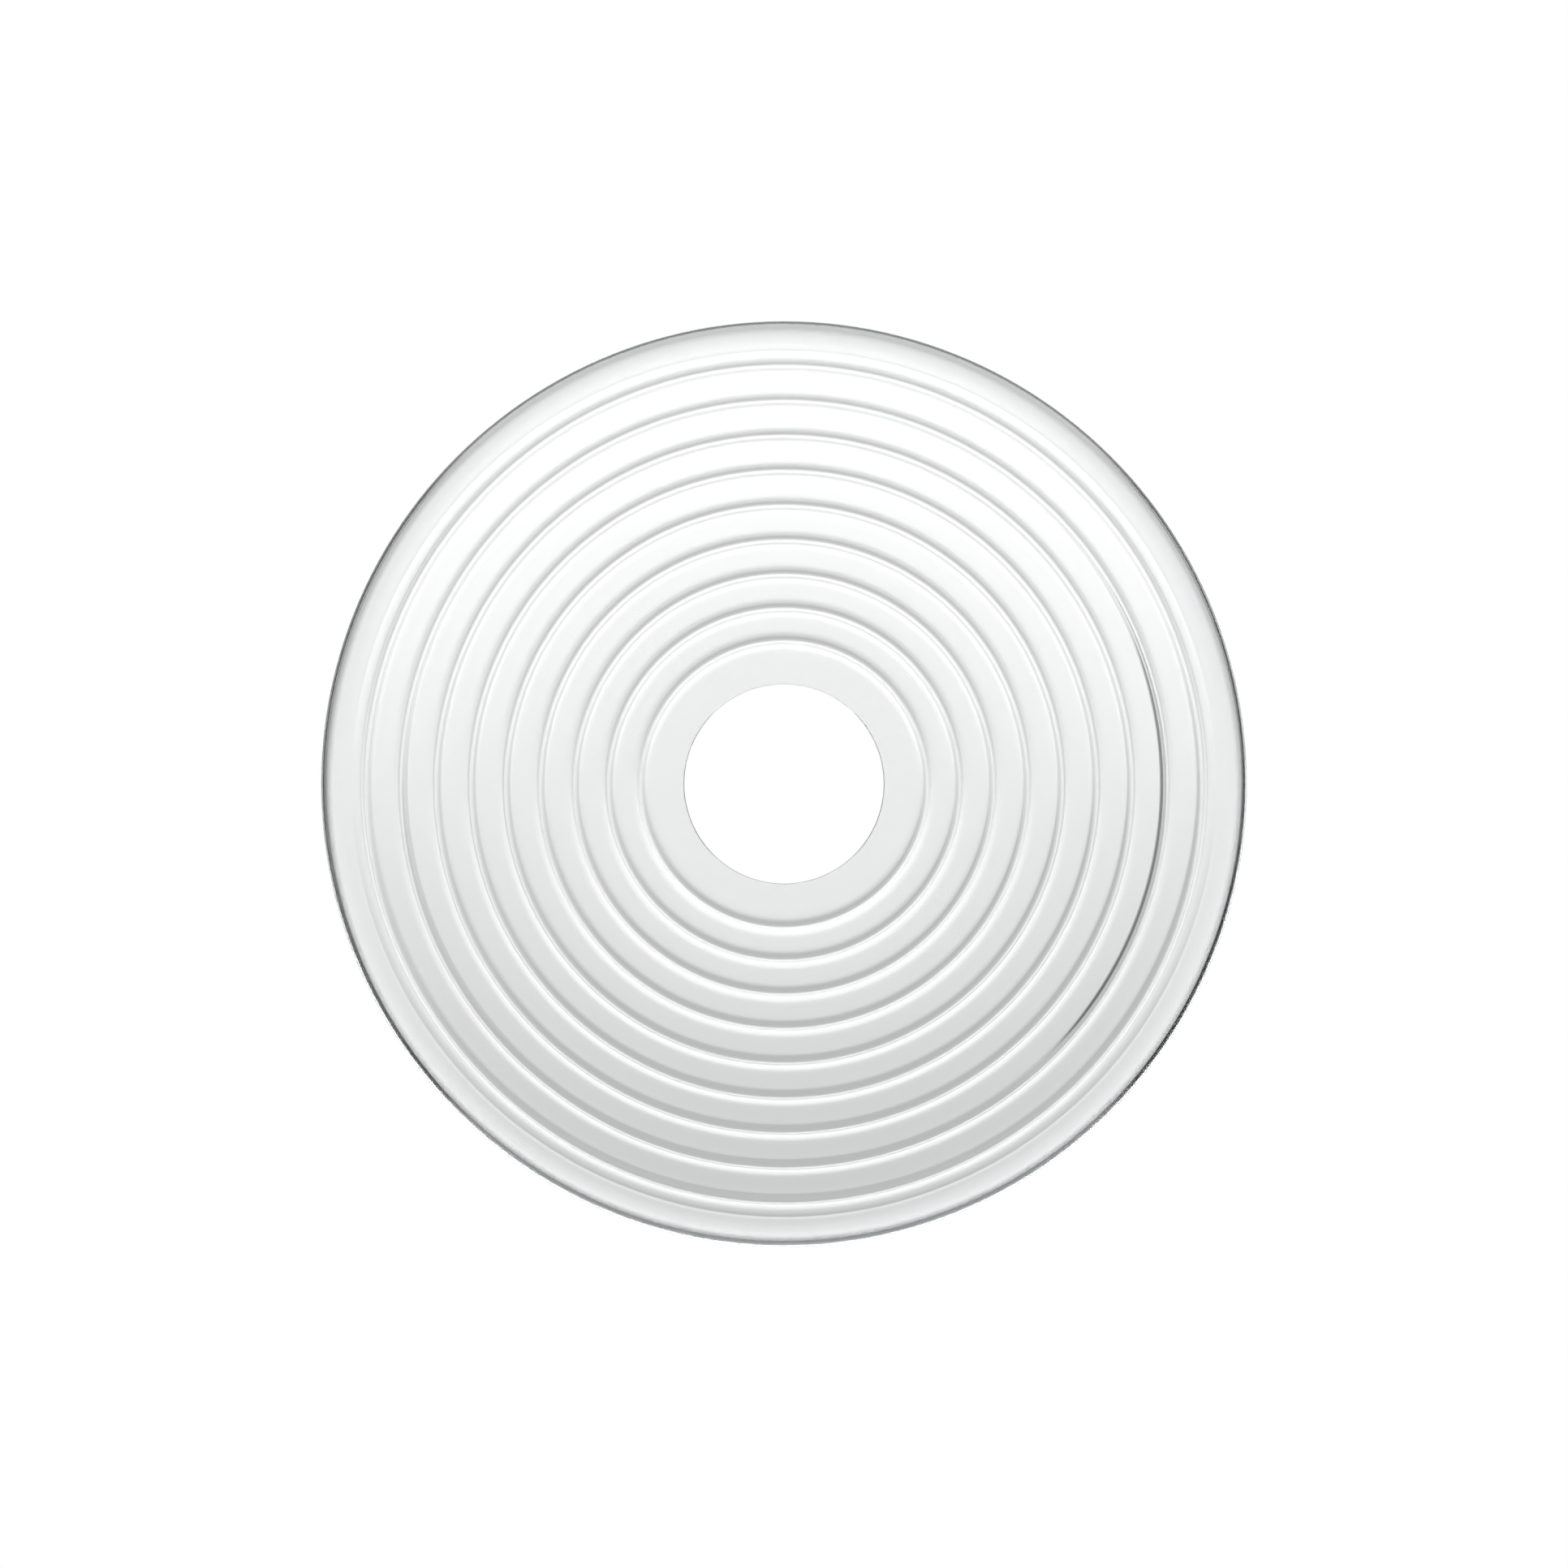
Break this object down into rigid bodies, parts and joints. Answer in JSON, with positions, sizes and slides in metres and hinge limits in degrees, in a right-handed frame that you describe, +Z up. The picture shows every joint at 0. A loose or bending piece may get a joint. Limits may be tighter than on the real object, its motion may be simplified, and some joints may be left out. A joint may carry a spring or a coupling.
{
  "type": "watch glass",
  "caption": "Shallow domed glass disc with nine concentric pressed rings, a turned-up brim and an open centre hole.",
  "frame": {"origin": "on the disc's axis, at the level of the surface that its lowest rib rests on", "axes": "+Z up along the disc's axis, the domed face up and the hollow face down; the disc is the same all round, so X and Y are free"},
  "size_m": [0.196, 0.196, 0.0074],
  "materials": {
    "clear_glass": "clear fire-polished pressed glass, colourless"
  },
  "bodies": {
    "root": {"watch_glass": "clear_glass"}
  },
  "joints": []
}
